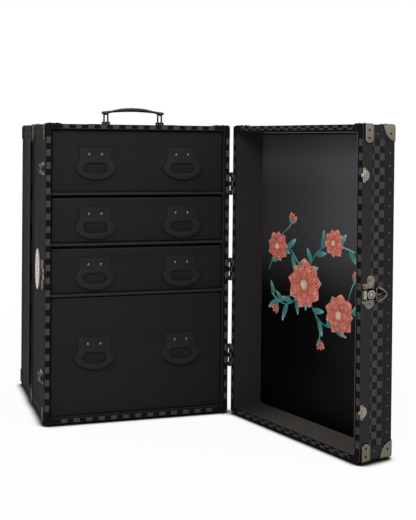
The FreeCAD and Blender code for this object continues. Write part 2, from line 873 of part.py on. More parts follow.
def build_drawer(number, floor, ends, pull_top):
    low, high = level(ends[0]), level(ends[1])
    crown = level(pull_top)
    across = drawer_front_width / 2
    front = block(-across, across, drawer_setback, drawer_setback + drawer_front, low, high)
    pulls, rivets, sockets = [], [], []
    for x in (-pull_spread, pull_spread):
        pulls.append(pull_at(x, crown))
        for s in (-1, 1):
            hole = Vector(x + s * rivet_spread / 2, drawer_setback, crown - rivet_drop)
            rivets.append(rivet_at(hole.x, hole.z))
            socket_end = hole + rearward * rivet_sink
            sockets.append(rod_between(rivet_radius + rivet_play, hole - rearward, socket_end))
    name = "drawer_" + str(number)
    export(name + "_front", at_front_rim(front.cut(sockets)))
    export(name + "_box", placed(at_front_rim, drawer_box(floor + running_gap, high - drawer_box_drop)))
    export(name + "_pulls", placed(at_front_rim, pulls))
    export(name + "_rivets", placed(at_front_rim, rivets))


# ---- the three boxes ----
def badge():
    """Oval plate with a rounded edge, on the canvas of the left side."""
    centre = Vector(-half + trim, badge_setback, level(badge_height))
    across, tall = badge_half
    rim = Part.Ellipse(centre + up * tall, centre + rearward * across, centre)
    plate = Part.Face(Part.Wire(rim.toShape())).extrude(right * -badge_thick)
    outer_x = centre.x - badge_thick
    outer = [edge for edge in plate.Edges if abs(edge.BoundBox.XMax - outer_x) < 1e-6]
    return plate.makeFillet(badge_edge, outer)


def build_case():
    for name, board in frame_boards(case_depth, False).items():
        export("case_" + name + "_wall", at_front_rim(board))
    panel_front = case_depth - back_panel - back_gap
    export("case_back_panel", at_front_rim(inner_panel(panel_front, panel_front + back_panel)))
    shelves = [
        block(-inner, inner, shelf_setback, panel_front, level(low), level(low + shelf))
        for low in shelf_heights
    ]
    export("case_shelves", placed(at_front_rim, shelves))
    floors = [level(wall)] + [level(low + shelf) for low in shelf_heights]
    runners = []
    for floor in floors:
        for side in (-1, 1):
            x = sorted([side * (drawer_box_width / 2 - runner_width), side * drawer_box_width / 2])
            runners.append(block(*x, runner_width, panel_front - runner_width / 2, floor, floor + runner))
    export("case_runners", placed(at_front_rim, runners))
    export("case_edge_trim", at_front_rim(edge_trim(case_depth, False)))
    export("case_clamps", corner_set(clamp, at_front_rim) + corner_set(clamp, at_rear_rim))
    reach = half - batten_inset
    export(
        "bottom_battens",
        [
            block(-reach, reach, y - batten_width / 2, y + batten_width / 2, 0, floor_gap)
            for y in (-batten_spread, 0, batten_spread)
        ],
    )
    export("side_badge", at_front_rim(badge()))
    export("catch_bases", [at_front_rim(catch_base_at(-1, level(z))) for z in catch_heights])
    export("lock_receiver", at_front_rim(lock_receiver_at(-1, level(lock_height))))
    export("rear_keepers", [at_rear_rim(keeper_at(1, level(z))) for z in catch_heights])
    return floors


def build_door():
    boards = frame_boards(door_depth, True)
    export("door_frame", placed(on_door, boards.values()))
    lining_back = door_depth - trim - face_panel
    export("door_face_panel", on_door(inner_panel(lining_back, door_depth - trim)))
    export("door_lining_panel", on_door(inner_panel(lining_back - door_lining, lining_back)))
    lip_end, ledge, lip_back = lip_width - inner, top - wall, lip_setback + lip_depth
    lip = [
        block(-inner, lip_end, lip_setback, lip_back, floor_gap + wall, ledge),
        block(lip_end, inner, lip_setback, lip_back, ledge - lip_width, ledge),
    ]
    export("door_inner_lip", placed(on_door, lip))
    export("door_edge_trim", on_door(edge_trim(door_depth, True)))
    export("door_clamps", corner_set(clamp, on_door))
    export("door_corner_caps", corner_set(corner_cap, on_door, door_depth))
    export("door_keepers", [on_door(keeper_at(-1, level(z))) for z in catch_heights])
    plate = lock_plate_at(-1, level(lock_height))
    staple = lock_staple_at(-1, level(lock_height))
    export("lock_plate", placed(on_door, [plate, staple]))
    export("lock_hasp", on_door(lock_hasp_at(-1, level(lock_height))))


def build_rear():
    boards = frame_boards(rear_depth, True)
    export("rear_frame", placed(on_rear, boards.values()))
    panel_front = rear_depth - trim - face_panel
    export("rear_face_panel", on_rear(inner_panel(panel_front, rear_depth - trim)))
    export("rear_edge_trim", on_rear(edge_trim(rear_depth, True)))
    export("rear_clamps", corner_set(clamp, on_rear))
    export("rear_corner_caps", corner_set(corner_cap, on_rear, rear_depth))
    z = level(rod_height)
    flange_radius, flange_thick = rod_flange
    wall_end = Vector(0, panel_front, z)
    free_end = Vector(0, rod_setback, z)
    rod = fuse(
        [
            rod_between(rod_radius, wall_end, free_end),
            rod_between(flange_radius, wall_end, wall_end - Vector(0, flange_thick, 0)),
            Part.makeSphere(rod_ball, free_end),
        ]
    )
    export("hanging_rod", on_rear(rod))
    export("rear_catch_bases", [on_rear(catch_base_at(1, level(z))) for z in catch_heights])


def build_levers():
    for place, z in zip(("lower", "upper"), catch_heights):
        export("front_catch_" + place + "_lever", at_front_rim(catch_lever_at(-1, level(z))))
        export("rear_catch_" + place + "_lever", on_rear(catch_lever_at(1, level(z))))


def build_hinges():
    case_leaves, door_leaves, pins = door_hinges()
    case_half, rear_half, long_pin = rear_hinge()
    export("hinge_case_leaves", case_leaves)
    export("hinge_door_leaves", door_leaves)
    export("hinge_pins", pins + [long_pin])
    export("rear_hinge_case_leaf", case_half)
    export("rear_hinge_leaf", rear_half)


def build_handle():
    rings = [handle_ring_at(side) for side in (-1, 1)]
    export("handle_tabs", [handle_tab_at(side) for side in (-1, 1)])
    export("handle_mounts", [handle_mount_at(side) for side in (-1, 1)])
    export("handle_rings", rings)
    export("handle_grip", handle_grip(rings))


os.makedirs("parts", exist_ok=True)
drawer_floors = build_case()
build_door()
build_rear()
build_levers()
build_hinges()
build_handle()
for index, ends in enumerate(drawer_front_ends):
    build_drawer(index + 1, drawer_floors[index] + runner, ends, pull_tops[index])
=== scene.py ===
import json
import math
import random
import bmesh
import bpy
from mathutils import Matrix, Quaternion, Vector

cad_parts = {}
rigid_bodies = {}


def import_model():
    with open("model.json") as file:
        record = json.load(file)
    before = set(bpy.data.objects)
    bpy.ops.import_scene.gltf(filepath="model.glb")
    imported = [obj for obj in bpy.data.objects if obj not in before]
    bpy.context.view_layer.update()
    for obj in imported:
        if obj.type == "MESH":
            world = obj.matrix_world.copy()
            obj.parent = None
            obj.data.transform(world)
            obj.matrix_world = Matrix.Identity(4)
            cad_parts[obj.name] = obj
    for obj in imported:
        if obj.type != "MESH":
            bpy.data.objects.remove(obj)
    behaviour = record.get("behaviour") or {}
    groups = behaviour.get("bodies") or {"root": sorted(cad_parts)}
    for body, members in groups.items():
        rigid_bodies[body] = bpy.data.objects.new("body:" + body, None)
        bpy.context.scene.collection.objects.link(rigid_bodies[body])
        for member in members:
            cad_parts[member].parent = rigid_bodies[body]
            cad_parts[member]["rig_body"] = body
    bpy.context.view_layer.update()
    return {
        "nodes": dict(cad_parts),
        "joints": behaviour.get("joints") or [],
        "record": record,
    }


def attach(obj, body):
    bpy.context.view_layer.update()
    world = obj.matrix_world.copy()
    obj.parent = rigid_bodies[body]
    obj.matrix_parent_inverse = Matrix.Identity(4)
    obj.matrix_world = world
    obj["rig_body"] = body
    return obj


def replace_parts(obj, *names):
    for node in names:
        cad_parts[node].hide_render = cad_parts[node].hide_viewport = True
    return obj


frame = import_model()
nodes = frame["nodes"]
slotOf = {part["node"]: part["material_slot"] for part in frame["record"]["subparts"]}
jointOf = {joint["name"]: joint for joint in frame["joints"]}
chance = random.Random(12)
up = Vector((0, 0, 1))
print("frame loaded:", len(nodes), "nodes")

# All three boxes share one width and height. A place on a box is x across it,
# the setback from its rim and the height z, with the box closed.
trunk = {"half": 0.3225, "low": 0.008, "top": 1.008, "skin": 0.0022}
leftSide = {"half": -0.3, "skin": -0.3205, "metal": -0.321, "nails": -0.3224}  # x is less there
boxes = {
    "case": {"body": "case", "rim": -0.155, "back": 1, "depth": 0.310, "closed": False},
    "rear": {"body": "rear_section", "rim": 0.156, "back": 1, "depth": 0.285, "closed": True},
    "door": {"body": "front_door", "rim": -0.156, "back": -1, "depth": 0.1335, "closed": True},
}
boxOfBody = {facts["body"]: name for name, facts in boxes.items()}
doorAxis = Vector(jointOf["door_hinge"]["pos_m"][:2] + [0])
doorAngle = -math.radians(jointOf["door_hinge"]["range_deg"][0])
doorSwing = Matrix.Rotation(doorAngle, 4, "Z")
doorTurn = Matrix.Translation(doorAxis) @ doorSwing @ Matrix.Translation(-doorAxis)


def spotOn(box, x, setback, z):
    facts = boxes[box]
    point = Vector((x, facts["rim"] + facts["back"] * setback, z))
    return doorTurn @ point if box == "door" else point


def facing(box, x, setback, z):
    direction = Vector((x, boxes[box]["back"] * setback, z))
    return doorTurn.to_3x3() @ direction if box == "door" else direction


def tone(red, green, blue):  # a screen colour, 0 to 255, as the shader wants it
    def plain(part):
        part = part / 255
        return part / 12.92 if part <= 0.04045 else ((part + 0.055) / 1.055) ** 2.4
    return (plain(red), plain(green), plain(blue), 1)


class Field:  # a socket that can stand in a sum
    def __init__(self, paint, socket):
        self.paint = paint
        self.socket = socket

    def sum(self, operation, first, second=0.0):
        return self.paint.node("Math", {"operation": operation}, {0: first, 1: second})

    def __add__(self, other):
        return self.sum("ADD", self, other)

    def __sub__(self, other):
        return self.sum("SUBTRACT", self, other)

    def __rsub__(self, other):
        return self.sum("SUBTRACT", other, self)

    def __mul__(self, other):
        return self.sum("MULTIPLY", self, other)

    def __truediv__(self, other):
        return self.sum("DIVIDE", self, other)

    def __mod__(self, other):
        return self.sum("FLOORED_MODULO", self, other)

    def __gt__(self, other):
        return self.sum("GREATER_THAN", self, other)

    def __lt__(self, other):
        return self.sum("LESS_THAN", self, other)

    def __abs__(self):
        return self.sum("ABSOLUTE", self)

    __radd__ = __add__
    __rmul__ = __mul__

    def least(self, other):
        return self.sum("MINIMUM", self, other)

    def most(self, other):
        return self.sum("MAXIMUM", self, other)

    def floor(self):
        return self.sum("FLOOR", self)

    def wave(self):
        return self.sum("SINE", self)


class Nodes:  # a node tree that is written as sums of fields
    def __init__(self, tree):
        self.tree = tree

    def node(self, kind, settings=None, sockets=None, output=0):
        made = self.tree.nodes.new("ShaderNode" + kind)
        for key, value in (settings or {}).items():
            if key == "stops":
                ramp = made.color_ramp.elements
                while len(ramp) < len(value):
                    ramp.new(1)
                for element, (place, colour) in zip(ramp, value):
                    element.position = place
                    element.color = colour
            else:
                setattr(made, key, value)
        for key, value in (sockets or {}).items():
            if isinstance(value, Field):
                self.tree.links.new(value.socket, made.inputs[key])
            else:
                made.inputs[key].default_value = value
        return Field(self, made.outputs[output])

    def split(self, vector):
        first = self.node("SeparateXYZ", None, {0: vector})
        return [Field(self, socket) for socket in first.socket.node.outputs]

    def join(self, x, y, z=0.0):
        return self.node("CombineXYZ", None, {0: x, 1: y, 2: z})

    def length(self, x, y, z=0.0):
        return self.node("VectorMath", {"operation": "LENGTH"}, {0: self.join(x, y, z)}, "Value")

    def stretched(self, vector, x, y, z):
        return self.node("Mapping", None, {"Vector": vector, "Scale": (x, y, z)})

    def smooth(self, value, start, end):
        sockets = {"Value": value, "From Min": start, "From Max": end}
        return self.node("MapRange", {"interpolation_type": "SMOOTHSTEP"}, sockets)

    def seen(self):  # 1 for what the eye meets directly, in a mirror or through glass
        rays = self.node("LightPath").socket.node.outputs
        kinds = ("Camera", "Glossy", "Transmission")
        return sum(Field(self, rays["Is %s Ray" % kind]) for kind in kinds).least(1.0)


class Paint(Nodes):  # one material
    def __init__(self, name, constants):
        self.material = bpy.data.materials.new(name)
        self.material.use_nodes = True
        super().__init__(self.material.node_tree)
        self.shader = self.tree.nodes["Principled BSDF"]
        self.output = self.tree.nodes["Material Output"]
        for key, value in constants.items():
            self.shader.inputs[key].default_value = value

    def mix(self, mask, low, high):
        return self.node("Mix", {"data_type": "RGBA"}, {0: mask, 6: low, 7: high}, 2)

    def place(self):
        return self.node("TexCoord", output="Object")

    def noise(self, vector, scale, detail=3.0, rough=0.55):
        sockets = {"Vector": vector, "Scale": scale, "Detail": detail, "Roughness": rough}
        return self.node("TexNoise", None, sockets)

    def shade(self, colour, dark, light, mask):  # from dark to light times the colour, by a mask
        return self.mix(mask, self.scaled(colour, dark), self.scaled(colour, light))

    def scaled(self, colour, amount):
        if not isinstance(colour, Field):
            return tuple(min(1.0, part * amount) for part in colour[:3]) + (1.0,)
        return self.node("VectorMath", {"operation": "SCALE"}, {0: colour, "Scale": amount})

    def bump(self, height, strength, distance):
        sockets = {"Height": height, "Strength": strength, "Distance": distance}
        return self.node("Bump", None, sockets)

    def done(self, **sockets):
        names = {"colour": "Base Color", "rough": "Roughness", "normal": "Normal"}
        for key, field in sockets.items():
            self.tree.links.new(field.socket, self.shader.inputs[names[key]])
        return self.material


def boxPlaces(paint, box):  # the place itself, then x, setback and z with the box closed
    facts = boxes[box]
    vector = paint.place()
    if box == "door":
        sockets = {"Vector": vector, "Location": doorTurn.translation, "Rotation": (0, 0, doorAngle)}
        vector = paint.node("Mapping", {"vector_type": "TEXTURE"}, sockets)
    x, y, z = paint.split(vector)
    return vector, x, (y - facts["rim"]) * facts["back"], z


def fromEdges(x, z):  # how far in from the nearer side, and from the nearer end
    return trunk["half"] - abs(x), (z - trunk["low"]).least(trunk["top"] - z)


# Painted shadow: dark lines round the metal on the skin.
clampLine = {"middle": 0.0241, "half": 0.0175, "straight": 0.0385, "line": 0.0014}
capLine = {"reach": 0.0514, "line": 0.0013}
badgeLine = {"setback": 0.162, "height": 0.5065, "halfDepth": 0.053, "halfHeight": 0.0755}
shadowLineColour = tone(7, 7, 7)


# On the lock's hasp, painted shade fills the recess and the inside of the loop, and painted highlights
# lie on the raised bars and ring. Places are the door's, closed.
lock = {
    "height": 0.5065,
    "recess": (0.0475, 0.0172),  # where the painted shade of the recess ends, and half its height
    "bar": (0.0068, 0.0044, 0.0125),  # setback of its middle, half width, half height
    "ring": (0.0295, 0.0138, 0.0128, 0.62),  # the same, and the groove's share of it
    "groove": 0.1,
    "tip": 0.0925,
    "slope": 0.58,
    "rim": 0.0026,
    "underLoop": 0.002,
    "recessShade": tone(9, 9, 9),
    "barHighlight": tone(150, 146, 136),
    "clouds": 130.0,
}


def loopShade(x, setback, z):  # the dark under the lock's loop
    reach = (lock["tip"] - setback) * lock["slope"] - abs(z - lock["height"])
    return (reach > lock["underLoop"]) * (setback > lock["recess"][0]) * (x < leftSide["half"])


# painted shadow lines round the clamps and the corner caps
def plateShadowLines(paint, box, setback, side, end):
    facts = boxes[box]
    across = abs(setback - clampLine["middle"])
    if not facts["closed"]:
        across = across.least(abs(setback - (facts["depth"] - clampLine["middle"])))
    along = (side.most(end) - clampLine["straight"]).most(0.0)
    fromClamp = paint.length(across, along) - (clampLine["half"] + clampLine["line"] * 0.7)
    lines = abs(fromClamp) < clampLine["line"]
    if facts["closed"]:
        fromCap = paint.length(side, facts["depth"] - setback, end) - capLine["reach"]
        lines = lines.most(abs(fromCap) < capLine["line"])
    return lines


# painted shadow: a dark ring round the badge on the left side
def badgeShadowRing(paint, x, setback, z):
    across = (setback - badgeLine["setback"]) / badgeLine["halfDepth"]
    reach = paint.length(across, (z - badgeLine["height"]) / badgeLine["halfHeight"])
    return (reach < 1) * (x < leftSide["half"])


# Boards: chequered canvas outside, blocks on the rims, black lining inside.
canvas = {
    "square": 1.0 / 47,
    "lightSquare": tone(64, 62, 65),
    "darkSquare": tone(33, 32, 30),
    "lightBlock": tone(68, 66, 69),
    "darkBlock": tone(23, 22, 21),
    "lining": tone(51, 50, 48),
    "lightened": tone(88, 84, 77),  # the door's bottom board, paler on its top face and fading out towards the hinge
    "lightenedRise": (0.0175, 0.0195),
    "lightenedAcross": (0.29, 0.05),
    "weave": 5200.0,
    "patches": 0.9,
    "grain": 900.0,
    "rim": 0.0006,  # how far in the rim's blocks reach, and then the cloth on the back
    "backSkin": 0.0026,
    "blockStart": 0.0015,
    "corner": 0.043,
    "shift": {"case": 0.0, "rear": 0.0, "door": 0.2662},
    "sideRow": (0.0132, 0.0031),  # on the right side, and how much more on the left
    "rowSplit": {"case": 0.0145, "rear": 0.0145, "door": 0.0100},
    "endRow": {"case": 0.0152, "rear": 0.0145, "door": 0.0155},
    "columnPhase": 0.251,
    "leftShade": tone(34, 33, 28),  # painted shade that makes the left side dull and brown
    "leftShadeShare": 0.76,
    "trimShadeShare": 0.88,
    "streaks": 60.0,
    "streakEdges": (0.36, 0.64),
}


def makeBoards(box):
    facts = boxes[box]
    paint = Paint("canvas_" + box, {"Specular IOR Level": 0.01})
    vector, x, setback, z = boxPlaces(paint, box)
    side, end = fromEdges(x, z)
    size = canvas["square"]
    across = (x - canvas["shift"][box]) / size + 0.5
    rise = (z - trunk["low"]) / size
    cells = paint.join(across, setback / size - canvas["columnPhase"], rise)
    chequer = paint.node("TexChecker", None, {"Vector": cells, "Scale": 1.0}, "Fac")
    outer = (side < trunk["skin"]).most(end < trunk["skin"])
    rim = setback < canvas["rim"]
    if facts["closed"]:
        outer = outer.most(setback > facts["depth"] - canvas["backSkin"])
    else:
        rim = rim.most(setback > facts["depth"] - canvas["rim"])
    edge = side.least(end)
    onSide = side < end
    even = (1 - rise.floor() % 2) * onSide + (1 - across.floor() % 2) * (1 - onSide)
    secondRow = (edge > canvas["rowSplit"][box]) * (1 - onSide)
    sideRow = (x < 0) * canvas["sideRow"][1] + canvas["sideRow"][0]
    rowEnd = onSide * sideRow + (1 - onSide) * canvas["endRow"][box]
    corner = (side < canvas["corner"]) * (end < canvas["corner"])
    block = abs(even - secondRow) * (edge > canvas["blockStart"]) * (edge < rowEnd) * (1 - corner)
    patches = paint.noise(cells, canvas["patches"], 2.0)
    grain = paint.noise(vector, canvas["grain"], 2.0)
    weave = sum((part * canvas["weave"]).wave() for part in (x, setback, z))
    squares = paint.mix(chequer, canvas["darkSquare"], canvas["lightSquare"])
    blocks = paint.mix(block, canvas["darkBlock"], canvas["lightBlock"])
    lining = canvas["lining"]
    if box == "door":
        first, last = canvas["lightenedRise"]
        floorSide = (z > trunk["low"] + first) * (z < trunk["low"] + last)
        lightenedShare = floorSide * paint.smooth(x, *canvas["lightenedAcross"])
        lining = paint.mix(lightenedShare, lining, canvas["lightened"])
    colour = paint.mix(outer, lining, squares)
    colour = paint.mix(rim, colour, blocks)
    colour = paint.shade(colour, 0.82, 1.18, patches * 0.5 + grain * 0.5)
    lines = plateShadowLines(paint, box, setback, side, end)
    if box == "case":
        lines = lines.most(badgeShadowRing(paint, x, setback, z))
    if box == "door":
        lines = lines.most(loopShade(x, setback, z))
    else:
        # painted shade on the left side, with streaks in it
        streaks = paint.noise(paint.stretched(vector, 1, 1, 0.05), canvas["streaks"], 2.0)
        streaks = paint.smooth(streaks, *canvas["streakEdges"])
        leftShade = paint.shade(canvas["leftShade"], 0.55, 1.45, streaks)
        colour = paint.mix((x < leftSide["skin"]) * canvas["leftShadeShare"], colour, leftShade)
    # painted shadow lines round the metal, round the badge and under the lock's loop
    colour = paint.mix(lines * outer, colour, shadowLineColour)
    bump = paint.bump(weave * 0.3 + grain, 0.35, 0.0002)
    return paint.done(colour=colour, rough=0.55 + patches * 0.2, normal=bump)


trimFinish = {
    "colour": tone(44, 44, 46),
    "blotches": 14.0,
    "pebble": 1400.0,
    "rough": 0.5,
    "darkFrom": 0.0915,  # setback of the door's darker back band
    "darkShare": 0.72,
}


def makeTrim(box):
    paint = Paint("fibreTrim_" + box, {"Specular IOR Level": 0.01})
    vector, x, setback, z = boxPlaces(paint, box)
    side, end = fromEdges(x, z)
    blotch = paint.noise(vector, trimFinish["blotches"], 5.0, 0.65)
    pebble = paint.noise(vector, trimFinish["pebble"], 2.0)
    colour = paint.shade(trimFinish["colour"], 0.75, 1.25, blotch)
    if box == "door":
        dark = paint.scaled(colour, trimFinish["darkShare"])
        colour = paint.mix(setback > trimFinish["darkFrom"], colour, dark)
    else:
        # painted shade on the left side
        colour = paint.mix((x < leftSide["skin"]) * canvas["trimShadeShare"], colour, canvas["leftShade"])
    # painted shadow lines round the clamps and caps
    colour = paint.mix(plateShadowLines(paint, box, setback, side, end), colour, shadowLineColour)
    rough = trimFinish["rough"] + blotch * 0.25
    return paint.done(colour=colour, rough=rough, normal=paint.bump(pebble, 0.3, 0.00025))


metals = {  # grime is how far the stains lighten and darken it, scale is how fine they are
    "hardware": {"colour": (116, 109, 98), "rough": 0.34, "grime": 0.7, "scale": 60.0},
    "darkMetal": {"colour": (38, 38, 40), "rough": 0.36, "grime": 0.4, "scale": 90.0},
    "blackMetal": {"colour": (12, 12, 12), "rough": 0.4, "grime": 0.5, "scale": 90.0, "metallic": 0.0},
    "rodPlate": {"colour": (205, 204, 200), "rough": 0.14, "grime": 0.2, "scale": 30.0},
    "rivetMetal": {"colour": (105, 102, 96), "rough": 0.16, "grime": 0.4, "scale": 200.0},
    "nailMetal": {
        "colour": (84, 78, 64), "rough": 0.35, "grime": 0.9, "scale": 24.0,
        # painted shade: the nails on the left side are darker
        "leftShadeColour": (26, 25, 22),
    },
    "brightMetal": {"colour": (138, 131, 120), "rough": 0.34, "grime": 0.8, "scale": 60.0},
    "sideMetal": {"colour": (84, 80, 68), "rough": 0.4, "grime": 1.0, "scale": 110.0},
    "nailDark": {"colour": (32, 27, 22), "rough": 0.5, "grime": 0.5, "scale": 150.0},
}
scratches = {"stretch": (1, 1, 0.06), "scale": 2600.0, "depth": 0.0001, "strength": 0.14}


def metalWear(paint, vector, scale):  # cloudy stains, fine scratches and small spots
    cloud = paint.noise(vector, scale, 4.0, 0.6)
    scratch = paint.noise(paint.stretched(vector, *scratches["stretch"]), scratches["scale"], 2.0)
    return cloud, scratch, paint.noise(vector, scale * 7, 2.0)


def metalDone(paint, colour, cloud, scratch, rough, relief):
    rough = cloud * 0.16 + scratch * 0.1 + rough
    bump = paint.bump(relief, scratches["strength"], scratches["depth"])
    return paint.done(colour=colour, rough=rough, normal=bump)


def makeMetal(name):
    facts = metals[name]
    paint = Paint(name, {"Metallic": facts.get("metallic", 1.0), "Specular IOR Level": 0.25})
    vector = paint.place()
    cloud, scratch, spots = metalWear(paint, vector, facts["scale"])
    colour = tone(*facts["colour"])
    # painted shade on the left side
    if "leftShadeColour" in facts:
        onLeft = paint.split(vector)[0] < leftSide["nails"]
        colour = paint.mix(onLeft, colour, tone(*facts["leftShadeColour"]))
    grime = facts["grime"] * 0.5
    colour = paint.shade(colour, 1 - grime, 1 + grime, cloud * 0.7 + spots * 0.3)
    return metalDone(paint, colour, cloud, scratch, facts["rough"] - 0.13, scratch + spots * 0.5)


plates = {  # painted shade of the clamps and caps, by box, in their colour and the tint of their reflections, and darker again on the left side
    "boxShade": {"case": 0.86, "rear": 0.6, "door": 0.95},
    "leftSideShade": {"case": 0.5, "rear": 0.3, "door": 0.9},
    "tint": {"case": 0.6, "rear": 0.3, "door": 1.0},
    "edge": (0.0052, 0.0079),  # setbacks between which the clamp's near edge gets a painted shadow
    "reach": 0.058,
    "stains": 24.0,
    "shade": (0.55, 1.4),
}


def makePlates(box):
    facts = metals["hardware"]
    tint = plates["tint"][box]
    paint = Paint("plates_" + box, {"Metallic": 1.0, "Specular Tint": (tint, tint, tint, 1)})
    vector, x, setback, z = boxPlaces(paint, box)
    side, end = fromEdges(x, z)
    cloud, scratch, spots = metalWear(paint, vector, facts["scale"])
    stains = paint.noise(vector, plates["stains"], 3.0)
    # painted shade: darker by box, and darker again on the left side
    boxShade, leftSideShade = (paint.scaled(tone(*facts["colour"]), plates[shading][box]) for shading in ("boxShade", "leftSideShade"))
    colour = paint.mix(x < leftSide["metal"], boxShade, leftSideShade)
    colour = paint.shade(colour, *plates["shade"], cloud * 0.45 + spots * 0.25 + stains * 0.3)
    first, last = plates["edge"]
    # painted shadow on the clamps' near edges
    shadow = (setback > first) * (setback < last) * (side.most(end) < plates["reach"])
    colour = paint.mix(shadow, colour, shadowLineColour)
    return metalDone(paint, colour, cloud, scratch, facts["rough"], scratch + spots * 0.5)


def makeLock():
    facts = metals["hardware"]
    paint = Paint("lockMetal", {"Metallic": 1.0})
    vector, x, setback, z = boxPlaces(paint, "door")
    rise = abs(z - lock["height"])
    cloud, scratch = metalWear(paint, vector, lock["clouds"])[:2]
    last, half = lock["recess"]
    recess = (setback < last) * (rise < half)
    middle, width, tall = lock["bar"]
    bar = (abs(setback - middle) < width) * (rise < tall)
    middle, width, tall, inner = lock["ring"]
    reach = paint.length((setback - middle) / width, rise / tall)
    bar = bar.most((reach < 1.0) * (abs(reach - inner) > lock["groove"]))
    inside = (lock["tip"] - setback) * lock["slope"] - lock["rim"] - rise
    inLoop = (setback > last) * (inside > 0) * (inside < lock["rim"] * 1.5)
    colour = paint.scaled(tone(*facts["colour"]), 0.95)
    # painted shade in the recess and inside the loop
    colour = paint.mix(recess.most(inLoop), colour, lock["recessShade"])
    # painted highlight on the raised bars and the ring
    colour = paint.mix(bar, colour, lock["barHighlight"])
    colour = paint.shade(colour, 0.7, 1.3, cloud)
    return metalDone(paint, colour, cloud, scratch, facts["rough"] - 0.08, scratch)


cloths = {
    "lining": {"colour": (44, 44, 44), "weave": 4200.0, "rough": 0.85, "sheen": 0.04},
    "drawerCloth": {"colour": (34, 34, 35), "weave": 3600.0, "rough": 0.8, "sheen": 0.01},
}
# painted highlight on the drawer fronts' top edges and left ends
edgeHighlight = {"share": 1.3, "below": 0.0034, "above": 0.001, "left": -0.2962}
drawerTops = [
    max((node.matrix_world @ vert.co).z for vert in node.data.vertices)
    for name, node in nodes.items() if name.endswith("_front")
]


def makeCloth(name):
    facts = cloths[name]
    paint = Paint(name, {"Specular IOR Level": 0.05, "Sheen Weight": facts["sheen"]})
    vector = paint.place()
    x, y, z = paint.split(vector)
    weave = sum((part * facts["weave"]).wave() * 0.5 for part in (x, y, z))
    slub = paint.noise(paint.stretched(vector, 1, 1, 0.15), 260.0, 3.0)
    fade = paint.noise(vector, 5.0, 4.0)
    colour = paint.shade(tone(*facts["colour"]), 0.88, 1.12, fade * 0.6 + slub * 0.4)
    if name == "drawerCloth":  # painted highlight: the fronts' top edges and left ends are lighter
        lightened = x < edgeHighlight["left"]
        for top in drawerTops:
            lightened = lightened + (z > top - edgeHighlight["below"]) * (z < top + edgeHighlight["above"])
        light = (part * edgeHighlight["share"] for part in facts["colour"])
        colour = paint.mix(lightened, colour, tone(*light))
    rough = fade * 0.15 + (facts["rough"] - 0.1)
    return paint.done(colour=colour, rough=rough, normal=paint.bump(weave + slub, 0.3, 0.0002))


leathers = {
    "handleLeather": {"colour": (12, 12, 12), "rough": 0.3, "pores": 900.0, "gloss": 0.5},
    "pullLeather": {"colour": (34, 34, 35), "rough": 0.6, "pores": 1500.0, "gloss": 0.08},
}


def makeLeather(name):
    facts = leathers[name]
    paint = Paint(name, {"Specular IOR Level": facts["gloss"]})
    vector = paint.place()
    pores = paint.node("TexVoronoi", None, {"Vector": vector, "Scale": facts["pores"]}, "Distance")
    creases = paint.noise(vector, 160.0, 5.0, 0.7)
    fade = paint.noise(vector, 22.0, 4.0)
    colour = paint.shade(tone(*facts["colour"]), 0.82, 1.2, fade)
    rough = creases * 0.22 + (facts["rough"] - 0.11)
    bump = paint.bump(pores * 0.6 + creases * 0.5, 0.22, 0.0003)
    return paint.done(colour=colour, rough=rough, normal=bump)


woods = {
    "battenWood": {"colour": (20, 19, 18), "grain": (0.06, 1, 1), "rough": 0.6},
    "drawerWood": {"colour": (150, 120, 88), "grain": (0.08, 1, 0.4), "rough": 0.55},
}


def makeWood(name):
    facts = woods[name]
    paint = Paint(name, {"Specular IOR Level": 0.3})
    grain = paint.stretched(paint.place(), *facts["grain"])
    rings = paint.noise(grain, 60.0, 6.0, 0.6)
    fibres = paint.noise(grain, 700.0, 3.0)
    streak = (rings * 34.0).wave() * 0.5 + 0.5
    colour = paint.shade(tone(*facts["colour"]), 0.7, 1.22, streak * 0.55 + fibres * 0.45)
    rough = fibres * 0.2 + (facts["rough"] - 0.1)
    return paint.done(colour=colour, rough=rough, normal=paint.bump(fibres, 0.25, 0.0002))


lacquer = {
    "colour": tone(4, 4, 4),
    "rough": 0.45,
    "streaks": 9.0,
    "gloss": 0.04,
    "seam": (0.977, 0.982),  # heights between which the painted shadow under the top board sets in
    "seamShare": 0.85,
    "paintedSheens": [  # painted reflection, pale sheens: colour, where it grows across the panel and up it
        ((49, 49, 51), (9, 8), (0.43, 0.70)),
        ((52, 52, 53), (0.28, -0.3), (0.45, 0.78)),
        ((26, 26, 27), (0.1, -0.25), (0.0, 0.5)),
        ((45, 45, 46), (9, 8), (0.84, 0.98)),
    ],
}


def makeLacquer():
    paint = Paint("lacquer", {"Specular IOR Level": lacquer["gloss"]})
    vector, x, setback, z = boxPlaces(paint, "door")
    streaks = paint.noise(paint.stretched(vector, 1, 1, 0.03), lacquer["streaks"], 4.0)
    dust = paint.noise(vector, 450.0, 4.0, 0.7)
    cloud = paint.noise(vector, 3.0, 2.0)
    colour = lacquer["colour"]
    # painted reflection: pale sheens added across the panel
    for sheenColour, across, height in lacquer["paintedSheens"]:
        share = paint.smooth(x, *across) * paint.smooth(z + cloud * 0.1, *height)
        sockets = {0: share, 6: colour, 7: tone(*sheenColour)}
        colour = paint.node("Mix", {"data_type": "RGBA", "blend_type": "ADD"}, sockets, 2)
    colour = paint.shade(colour, 0.94, 1.06, dust)
    # painted shadow under the top board
    seam = paint.smooth(z, *lacquer["seam"]) * lacquer["seamShare"]
    colour = paint.mix(seam, colour, lacquer["colour"])
    rough = streaks * 0.1 + dust * 0.05 + (lacquer["rough"] - 0.07)
    return paint.done(colour=colour, rough=rough, normal=paint.bump(dust, 0.05, 0.0002))


lip = {
    "colour": (15, 15, 15),
    "crest": (92, 92, 92),  # painted highlight on its inner front edge, up to topEnd from the lock side
    "from": 0.0228,
    "front": 0.003,
    "topEnd": 0.15,
    "rough": 0.6,
}


